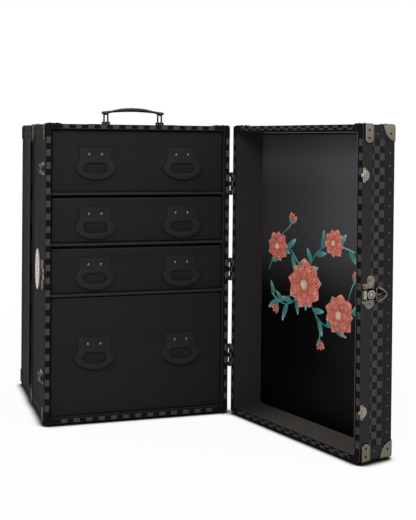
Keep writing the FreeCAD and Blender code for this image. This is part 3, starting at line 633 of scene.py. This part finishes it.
def makeLip():
    paint = Paint("lipStrip", {"Specular IOR Level": 0.05})
    vector, x, setback, z = boxPlaces(paint, "door")
    side, end = fromEdges(x, z)
    rub = paint.noise(paint.stretched(vector, 1, 1, 0.1), 120.0, 4.0)
    # painted highlight on the lip's inner front edge
    crest = (side.least(end) > lip["from"]) * (x < lip["topEnd"]) * (setback < lip["front"])
    colour = paint.mix(crest, tone(*lip["colour"]), tone(*lip["crest"]))
    colour = paint.shade(colour, 0.8, 1.15, rub)
    rough = rub * 0.2 + (lip["rough"] - 0.1)
    return paint.done(colour=colour, rough=rough, normal=paint.bump(rub, 0.15, 0.0002))


badge = {  # reach runs from 0 at the middle to 1 at the oval's edge
    "centre": Vector((-0.3213, 0.007, 0.5065)),
    "halfDepth": 0.043,
    "halfHeight": 0.071,
    "ticks": 44,
    "tickRing": 0.8,
    "tickHalf": 0.07,
    "tickShare": 0.55,
    "ring": (0.62, 0.022),
    "column": 0.56,
    "lozenge": (0.021, 0.0145),
    "enamel": (238, 236, 232),
    "tickColour": (172, 40, 36),
    "edge": (150, 146, 140),
    "edgeStart": 0.93,
}


def makeEnamel():
    paint = Paint("badgeEnamel", {"Specular IOR Level": 0.35})
    sockets = {"Vector": paint.place(), "Location": badge["centre"]}
    centred = paint.node("Mapping", {"vector_type": "TEXTURE"}, sockets)
    y, z = paint.split(centred)[1:]
    y, z = y / badge["halfDepth"], z / badge["halfHeight"]
    reach = paint.length(y, z)
    turn = y.sum("ARCTAN2", y, z) * (badge["ticks"] / (2 * math.pi))
    onRing = abs(reach - badge["tickRing"]) < badge["tickHalf"]
    ticks = (turn % 1.0 < badge["tickShare"]) * onRing
    ring = abs(reach - badge["ring"][0]) < badge["ring"][1]
    lozenge = abs(y) * (badge["halfDepth"] / badge["lozenge"][0])
    lozenge = lozenge + abs((z * (badge["halfHeight"] / badge["lozenge"][1])) % 1.0 - 0.5) * 1.5
    column = (lozenge < 1.0) * (reach < badge["column"])
    speck = paint.noise(centred, 300.0, 4.0)
    marks = ticks.most(ring).most(column)
    colour = paint.mix(marks, tone(*badge["enamel"]), tone(*badge["tickColour"]))
    colour = paint.mix(reach > badge["edgeStart"], colour, tone(*badge["edge"]))
    colour = paint.shade(colour, 0.92, 1.04, speck)
    rough = speck * 0.15 + 0.22
    return paint.done(colour=colour, rough=rough, normal=paint.bump(speck, 0.08, 0.0002))


threads = {  # colours at the base, the middle and the tip, and how few dark veins there are
    "petalThreads": ((236, 170, 120), (222, 96, 66), (238, 150, 132), 0.72),
    "leafThreads": ((60, 132, 132), (60, 132, 132), (132, 196, 186), 0.86),
    "creamThreads": ((232, 216, 180), (232, 216, 180), (206, 62, 52), 0.9),
}
veinColour = tone(30, 20, 18)


def makeThreads(name):  # colours run from a petal's base to its tip, with sewn lines
    base, middle, tip, veins = threads[name]
    paint = Paint(name, {"Specular IOR Level": 0.3, "Sheen Weight": 0.1})
    u, v = paint.split(paint.node("TexCoord", output="UV"))[:2]
    shade = paint.node("Attribute", {"attribute_name": "shade"}, None, "Fac")
    stops = [(0.0, tone(*base)), (0.5, tone(*middle)), (1.0, tone(*tip))]
    wobble = paint.noise(paint.join(u * 3.0, v * 6.0, shade * 40.0), 1.6, 3.0)
    ramp = paint.node("ValToRGB", {"stops": stops}, {"Fac": u + (wobble - 0.5) * 0.5}, "Color")
    fan = (abs(v) * 16.0 + u * 9.0 + wobble * 2.0).wave()
    vein = (fan > veins) * (u < 0.9)
    thread = ((v * 60.0 + u * 14.0) * 2.4).wave()
    colour = paint.mix(vein, ramp, veinColour)
    colour = paint.shade(colour, 0.75, 1.15, shade * 0.6 + thread * 0.2 + 0.2)
    rough = thread * 0.08 + 0.6
    return paint.done(colour=colour, rough=rough, normal=paint.bump(thread, 0.4, 0.0003))


nailMetal = makeMetal("nailMetal")
nailDark = makeMetal("nailDark")
finishes = {
    "hardware": makeMetal("hardware"),
    "dark_metal": makeMetal("darkMetal"),
    "plated_rod": makeMetal("rodPlate"),
    "rivet_metal": makeMetal("rivetMetal"),
    "inside_lining": makeCloth("lining"),
    "drawer_face": makeCloth("drawerCloth"),
    "leather_black": makeLeather("handleLeather"),
    "pull_leather": makeLeather("pullLeather"),
    "hardwood": makeWood("battenWood"),
    "drawer_wood": makeWood("drawerWood"),
    "lacquer_panel": makeLacquer(),
    "lip_grey": makeLip(),
    "badge_enamel": makeEnamel(),
}
boards = {box: makeBoards(box) for box in boxes}
plateMetals = {box: makePlates(box) for box in boxes}
blackMetal = makeMetal("blackMetal")
brightMetal = makeMetal("brightMetal")
sideMetal = makeMetal("sideMetal")
lockMetal = makeLock()
trims = {box: makeTrim(box) for box in boxes}


def finishOf(node):
    if "clamps" in node or "caps" in node:
        return plateMetals[boxOfBody[nodes[node]["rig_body"]]]
    if node.startswith("handle_") and slotOf[node] == "dark_metal" or node.endswith("_lever"):
        return blackMetal
    if node == "door_keepers":
        return brightMetal
    if node in ("lock_hasp", "lock_plate"):
        return lockMetal
    if node in ("catch_bases", "rear_catch_bases", "lock_receiver"):
        return sideMetal
    if slotOf[node] == "boards":
        return boards[boxOfBody[nodes[node]["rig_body"]]]
    if slotOf[node] == "trim_fibre":
        return trims[boxOfBody[nodes[node]["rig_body"]]]
    return finishes[slotOf[node]]


for name, node in nodes.items():
    node.data.materials.clear()
    node.data.materials.append(finishOf(name))
print("finishes made:", len(bpy.data.materials))


def pieceFrom(bm, name, body, material, smoothBelow=35):
    mesh = bpy.data.meshes.new(name)
    bm.to_mesh(mesh)
    bm.free()
    mesh.materials.append(material)
    mesh.shade_smooth()
    mesh.set_sharp_from_angle(angle=math.radians(smoothBelow))
    piece = bpy.data.objects.new(name, mesh)
    bpy.context.scene.collection.objects.link(piece)
    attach(piece, body)
    return piece


rounding = {"sharpFrom": 32, "flatBelow": 1, "merge": 0.00001, "largeFace": 0.0005, "cap": (0.0045, 4)}


def sharp(edge):
    return len(edge.link_faces) == 2 and edge.calc_face_angle() > math.radians(rounding["sharpFrom"])


def outerEdge(edge):  # between two of the large outer faces
    return edge.is_convex and all(face.calc_area() > rounding["largeFace"] for face in edge.link_faces)


def roundEdges(bm, edges, width, segments):
    shape = {"affect": "EDGES", "profile": 0.5, "material": -1}
    bmesh.ops.bevel(bm, geom=edges, offset=width, segments=segments, **shape)


def softened(node, width, segments=2):  # a copy of the node with its sharp edges rounded
    bm = bmesh.new()
    bm.from_mesh(nodes[node].data)
    bmesh.ops.remove_doubles(bm, verts=bm.verts, dist=rounding["merge"])
    flat = math.radians(rounding["flatBelow"])
    bmesh.ops.dissolve_limit(bm, angle_limit=flat, verts=bm.verts, edges=bm.edges)
    if "caps" in node:
        outer = [edge for edge in bm.edges if sharp(edge) and outerEdge(edge)]
        roundEdges(bm, outer, *rounding["cap"])
    roundEdges(bm, [edge for edge in bm.edges if sharp(edge)], width, segments)
    piece = pieceFrom(bm, node + "_soft", nodes[node]["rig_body"], finishOf(node))
    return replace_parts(piece, node)


softEdges = {  # width of the rounding on each node's edges
    "case_shelves": 0.0015,
    "bottom_battens": 0.002,
    "case_clamps": 0.0007,
    "door_clamps": 0.0007,
    "rear_clamps": 0.0007,
    "door_corner_caps": 0.0007,
    "rear_corner_caps": 0.0007,
    "hinge_case_leaves": 0.0004,
    "hinge_door_leaves": 0.0004,
    "hinge_pins": 0.0004,
    "catch_bases": 0.0006,
    "rear_catch_bases": 0.0006,
    "lock_receiver": 0.0006,
    "door_keepers": 0.0006,
    "rear_keepers": 0.0006,
    "lock_plate": 0.0006,
    "lock_hasp": 0.0006,
    "handle_tabs": 0.0012,
    "handle_mounts": 0.0005,
    "front_catch_lower_lever": 0.0007,
    "front_catch_upper_lever": 0.0007,
    "rear_catch_lower_lever": 0.0007,
    "rear_catch_upper_lever": 0.0007,
}
for number in range(1, 5):
    softEdges["drawer_%d_front" % number] = 0.003
    softEdges["drawer_%d_pulls" % number] = 0.0012
for node, width in softEdges.items():
    softened(node, width)
print("edges rounded:", len(softEdges))

nail = {
    "radius": 0.0032,
    "rise": 0.0015,
    "pitch": 0.040,
    "firstHeight": 0.084,
    "rows": 22,
    "columns": 14,
    "fromCorner": 0.0215,
    "endBand": 0.0275,
    "plateShare": 1.25,
}
holes = {"clamp": (0.017, 0.041), "cap": 0.0265, "clampRise": 0.003, "capRise": 0.0025}
endBandSetbacks = {"door": [0.0595], "case": [0.062 + 0.04 * k for k in range(5)]}
endBandSetbacks["rear"] = endBandSetbacks["case"]


def nailHead(bm, box, place, direction, share=1.0):
    turn = facing(box, *direction).to_track_quat("Z", "Y").to_matrix().to_4x4()
    shape = Matrix.Diagonal((nail["radius"] * share, nail["radius"] * share, nail["rise"] * share, 1))
    matrix = Matrix.Translation(spotOn(box, *place)) @ turn @ shape
    bmesh.ops.create_uvsphere(bm, u_segments=8, v_segments=4, radius=1, matrix=matrix)


def nailRows(box):  # the nails that hold the trim, in rows along its bands
    facts = boxes[box]
    half, low, top, depth = trunk["half"], trunk["low"], trunk["top"], facts["depth"]
    inset = nail["fromCorner"]
    bm = bmesh.new()
    for side in (-1, 1):
        if facts["closed"]:
            for k in range(nail["rows"]):
                z = nail["firstHeight"] + nail["pitch"] * k
                nailHead(bm, box, (side * half, depth - inset, z), (side, 0, 0))
                nailHead(bm, box, (side * (half - inset), depth, z), (0, 1, 0))
        for z in (low + nail["endBand"], top - nail["endBand"]):
            for setback in endBandSetbacks[box]:
                nailHead(bm, box, (side * half, setback, z), (side, 0, 0))
    for z, direction in ((low, -1), (top, 1)):
        for k in range(nail["columns"] if facts["closed"] else 0):
            x = nail["pitch"] * (k - (nail["columns"] - 1) / 2)
            nailHead(bm, box, (x, depth - inset, z), (0, 0, direction))
            nailHead(bm, box, (x, depth, z - direction * inset), (0, 1, 0))
    return pieceFrom(bm, box + "TrimNails", facts["body"], nailMetal)


def plateNails(box, rims):  # the dark nails through the clamps and the corner caps
    facts = boxes[box]
    half, low, top, depth = trunk["half"], trunk["low"], trunk["top"], facts["depth"]
    inset, share = nail["fromCorner"], nail["plateShare"]
    bm = bmesh.new()
    for side in (-1, 1):
        for z, direction in ((low, -1), (top, 1)):
            for rim in rims:
                for hole in holes["clamp"]:
                    rise = holes["clampRise"]
                    sidePlace = (side * (half + rise), rim, z - direction * hole)
                    nailHead(bm, box, sidePlace, (side, 0, 0), share)
                    endPlace = (side * (half - hole), rim, z + direction * rise)
                    nailHead(bm, box, endPlace, (0, 0, direction), share)
            if facts["closed"]:
                rise = holes["capRise"]
                sidePlace = (side * (half + rise), depth - inset, z - direction * holes["cap"])
                nailHead(bm, box, sidePlace, (side, 0, 0), share)
                endPlace = (side * (half - inset), depth - inset, z + direction * rise)
                nailHead(bm, box, endPlace, (0, 0, direction), share)
                backPlace = (side * (half - inset), depth + rise, z - direction * inset)
                nailHead(bm, box, backPlace, (0, 1, 0), share)
    return pieceFrom(bm, box + "PlateNails", facts["body"], nailDark)


for box, facts in boxes.items():
    nailRows(box)
    clampRims = [clampLine["middle"]]
    if not facts["closed"]:
        clampRims.append(facts["depth"] - clampLine["middle"])
    plateNails(box, clampRims)
print("nails placed")

# A garland of flowers sewn on the door's lining. Places are metres across the
# panel from the hinge and up from the trunk's bottom.
garland = {
    "flowers": [  # across, up, radius
        (0.118, 0.585, 0.052),
        (0.262, 0.470, 0.080),
        (0.432, 0.392, 0.066),
        (0.405, 0.622, 0.045),
    ],
    "layers": [(9, 1.0, 0.0014), (8, 0.74, 0.0026), (6, 0.5, 0.0038)],  # petals, share, lift
    "seeds": 7,
    "buds": [  # across, up, radius, the way it points
        (0.187, 0.668, 0.026, 62),
        (0.500, 0.505, 0.024, 62),
        (0.120, 0.388, 0.026, 235),
        (0.338, 0.300, 0.024, 285),
    ],
    "vines": [
        ((0.070, 0.500), (0.120, 0.640), (0.210, 0.600), (0.262, 0.470)),
        ((0.262, 0.470), (0.320, 0.330), (0.400, 0.300), (0.505, 0.430)),
        ((0.262, 0.470), (0.300, 0.600), (0.360, 0.640), (0.500, 0.600)),
        ((0.262, 0.470), (0.200, 0.380), (0.150, 0.370), (0.085, 0.420)),
    ],
    "twigs": [
        ((0.118, 0.585), (0.120, 0.640), (0.160, 0.630), (0.187, 0.668)),
        ((0.432, 0.392), (0.480, 0.420), (0.470, 0.470), (0.500, 0.505)),
        ((0.262, 0.470), (0.230, 0.410), (0.150, 0.430), (0.120, 0.388)),
        ((0.262, 0.470), (0.290, 0.400), (0.350, 0.350), (0.338, 0.300)),
    ],
    "leavesOnVine": 7,
    "leafWidth": 0.021,
    "vineWidth": 0.0046,
    "twigWidth": 0.0032,
    "stand": 0.0006,
    "sheet": 0.0004,
    "panel": 0.118,
}
alongDoor = Vector((-math.cos(doorAngle), -math.sin(doorAngle), 0))
outOfDoor = Vector((math.sin(doorAngle), -math.cos(doorAngle), 0))
panelPlace = Matrix.Translation(doorAxis + outOfDoor * garland["panel"] + up * trunk["low"]) @ Matrix((
    (alongDoor.x, 0, -outOfDoor.x, 0),
    (alongDoor.y, 0, -outOfDoor.y, 0),
    (0, 1, 0, 0),
    (0, 0, 0, 1),
))


def bentGrid(bm, columns, rows, amount, bend):  # a grid that bend(u, v) puts on the panel
    uv = bm.loops.layers.uv.verify()
    shade = bm.verts.layers.float.get("shade") or bm.verts.layers.float.new("shade")
    made = bmesh.ops.create_grid(bm, x_segments=columns, y_segments=rows, size=0.5)
    for face in {face for vert in made["verts"] for face in vert.link_faces}:
        for loop in face.loops:
            loop[uv].uv = (loop.vert.co.x + 0.5, loop.vert.co.y * 2)
    for vert in made["verts"]:
        vert[shade] = amount
        vert.co = panelPlace @ Vector(bend(vert.co.x + 0.5, vert.co.y * 2))


def petal(bm, centre, angle, length, width, lift, fullness=0.75, curl=0.0):
    amount = chance.random()
    turn = Matrix.Rotation(angle, 2)

    def bend(u, v):
        spread = max(0.06, math.sin(math.pi * min(1, max(0, u)) ** fullness) ** 0.7 if 0 < u < 1 else 0)
        ruffle = 1 + 0.05 * math.sin(v * 9 + amount * 6) * u
        flat = turn @ Vector((length * u * ruffle, width / 2 * v * spread + curl * length * u * u))
        crown = 0.0012 * (1 - v * v) * math.sin(math.pi * min(1, u))
        return centre[0] + flat.x, centre[1] + flat.y, lift + crown

    bentGrid(bm, 9, 5, amount, bend)


def along(points, t):  # a place on a vine's curve, and the way it runs there
    a, b, c, d = (Vector(p) for p in points)
    s = 1 - t
    place = a * s ** 3 + b * 3 * t * s ** 2 + c * 3 * t * t * s + d * t ** 3
    return place, (b - a) * s ** 2 + (c - b) * 2 * t * s + (d - c) * t * t


def stem(bm, points, width):
    def bend(t, v):
        middle, run = along(points, t)
        place = middle + Vector((-run.y, run.x)).normalized() * v * width / 2
        return place.x, place.y, garland["stand"] + 0.0006 * (1 - v * v)

    bentGrid(bm, 30, 2, 0.5, bend)


petals, leaves, seeds = bmesh.new(), bmesh.new(), bmesh.new()
for points in garland["vines"]:
    stem(leaves, points, garland["vineWidth"])
for points in garland["twigs"]:
    stem(leaves, points, garland["twigWidth"])
for points in garland["vines"]:
    for k in range(garland["leavesOnVine"]):
        middle, run = along(points, (k + 0.6) / garland["leavesOnVine"])
        way = math.atan2(run.y, run.x) + (0.8 if k % 2 else -0.8)
        length = 0.050 + 0.014 * chance.random()
        lift = garland["stand"] + 0.0004
        petal(leaves, middle, way, length, garland["leafWidth"], lift, 0.8, 0.12)
for x, y, radius in garland["flowers"]:
    start = chance.random() * 6
    for layer, (count, share, lift) in enumerate(garland["layers"]):
        for k in range(count):
            angle = start + 2 * math.pi * (k + 0.5 * layer) / count
            size = radius * share * (0.94 + 0.12 * chance.random())
            petal(petals, (x, y), angle, size, size * 0.78, lift + 0.0002 * (k % 2), 1.25)
    for k in range(garland["seeds"]):
        petal(seeds, (x, y), start + 0.9 * k, radius * 0.27, radius * 0.17, 0.0052, 1.2)
for x, y, radius, angle in garland["buds"]:
    for k in (-1, 1, 0):
        lift = 0.0016 + 0.0006 * (k == 0)
        petal(petals, (x, y), math.radians(angle + 24 * k), radius * 1.5, radius * 0.8, lift, 1.1)
    for k in (-1, 1):
        petal(leaves, (x, y), math.radians(angle + 40 * k), radius, radius * 0.4, 0.0026, 0.9)
sewn = (
    (petals, "panelPetals", "petalThreads"),
    (leaves, "panelLeaves", "leafThreads"),
    (seeds, "panelSeeds", "creamThreads"),
)
for bm, name, threadName in sewn:
    bmesh.ops.solidify(bm, geom=bm.faces[:], thickness=garland["sheet"])
    pieceFrom(bm, name, "front_door", makeThreads(threadName), smoothBelow=50)
print("panel decorated")

stage = {
    "floorSize": 60.0,
    "floor": (0.86, 0.86, 0.86, 1),
    "shadow": (0.04, 0.04, 0.04, 1),
    "ambient": 0.55,
    "contact": 0.05,  # how far the dark line along the trunk's foot reaches
    "contactPale": (0.5, 0.86),
    "contactDark": (0.45, 0.8),
    "farFade": (1.0, 2.5),
    "farShare": 0.05,
}


def makeFloor():
    paint = Paint("floor", {"Roughness": 0.9, "Specular IOR Level": 0.0})
    x, y = paint.split(paint.place())[:2]
    clear = paint.node("AmbientOcclusion", None, {"Distance": stage["contact"]}, "AO")
    lift = paint.smooth(clear, *stage["contactPale"]) * (1 - stage["farShare"])
    lift = lift + paint.smooth(paint.length(x, y), *stage["farFade"]) * stage["farShare"]
    pale = paint.smooth(clear, *stage["contactDark"])
    paint.done(colour=paint.mix(pale, stage["shadow"], stage["floor"]))
    glow = paint.node("Emission", None, {"Color": (1, 1, 1, 1), "Strength": 1.0})
    plain = Field(paint, paint.shader.outputs[0])
    mixed = paint.node("MixShader", None, {0: paint.seen() * lift, 1: plain, 2: glow})
    paint.tree.links.new(mixed.socket, paint.output.inputs[0])
    return paint.material


bm = bmesh.new()
bmesh.ops.create_grid(bm, x_segments=1, y_segments=1, size=stage["floorSize"] / 2)
floorMesh = bpy.data.meshes.new("floor")
bm.to_mesh(floorMesh)
bm.free()
floorMesh.materials.append(makeFloor())
floor = bpy.data.objects.new("floor", floorMesh)
bpy.context.scene.collection.objects.link(floor)

world = bpy.data.worlds.new("studio")
bpy.context.scene.world = world
world.use_nodes = True
sky = Nodes(world.node_tree)
background = sky.tree.nodes["Background"]
background.inputs["Color"].default_value = (1, 1, 1, 1)
strength = sky.seen() * (1 - stage["ambient"]) + stage["ambient"]
sky.tree.links.new(strength.socket, background.inputs["Strength"])

lamps = {
    "key": {"from": (-1.8, -3.6, 3.3), "size": 2.2, "power": 85},
    "fill": {"from": (2.6, -3.2, 2.0), "size": 2.6, "power": 35},
    "rim": {"from": (-2.3, 1.4, 1.9), "size": 1.6, "power": 6},
}
for name, facts in lamps.items():
    light = bpy.data.lights.new(name, "AREA")
    light.size = facts["size"]
    light.energy = facts["power"]
    lamp = bpy.data.objects.new(name, light)
    bpy.context.scene.collection.objects.link(lamp)
    lamp.location = facts["from"]
    towards = Vector((0, 0, 0.5)) - lamp.location
    lamp.rotation_euler = towards.to_track_quat("-Z", "Y").to_euler()

view = {
    "from": (-0.80819, -3.29043, 0.94861),
    "yaw": 16.95,
    "down": 0.887,
    "roll": 0.518,
    "lens": 65.795,
    "shift": (0.0503, -0.1972),
}
lens = bpy.data.cameras.new("camera")
camera = bpy.data.objects.new("camera", lens)
bpy.context.scene.collection.objects.link(camera)
lens.lens = view["lens"]
lens.shift_x, lens.shift_y = view["shift"]
lens.clip_end = 200
yaw, down = math.radians(view["yaw"]), math.radians(view["down"])
ahead = Vector((math.sin(yaw) * math.cos(down), math.cos(yaw) * math.cos(down), -math.sin(down)))
camera.location = view["from"]
aim = ahead.to_track_quat("-Z", "Y") @ Quaternion((0, 0, 1), math.radians(view["roll"]))
camera.rotation_euler = aim.to_euler()
bpy.context.scene.camera = camera
bpy.context.scene.view_settings.view_transform = "Standard"
print("stage set")
